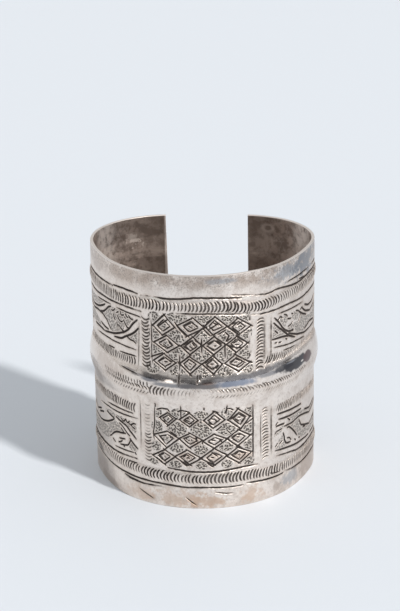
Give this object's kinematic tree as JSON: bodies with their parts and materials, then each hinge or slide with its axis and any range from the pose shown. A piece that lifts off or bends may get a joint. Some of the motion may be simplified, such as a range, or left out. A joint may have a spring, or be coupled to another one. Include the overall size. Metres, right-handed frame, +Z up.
{
  "type": "silver cuff bracelet",
  "caption": "Wide open cuff bracelet bent from one sheet of chased silver, with a hollow middle ridge, rope ribs near both rims, lozenge panels at the front and an opening at the back.",
  "frame": {"origin": "middle of the footprint, on the surface that the lower edge stands on", "axes": "+Z up along the arm, -Y towards the middle of the ornament, +Y towards the opening that the wrist goes in by"},
  "size_m": [0.0642, 0.0562, 0.067],
  "materials": {
    "silver": "worn silver, satin, with dark tarnish in the chased lines"
  },
  "bodies": {
    "root": {"cuff": "silver"}
  },
  "joints": []
}
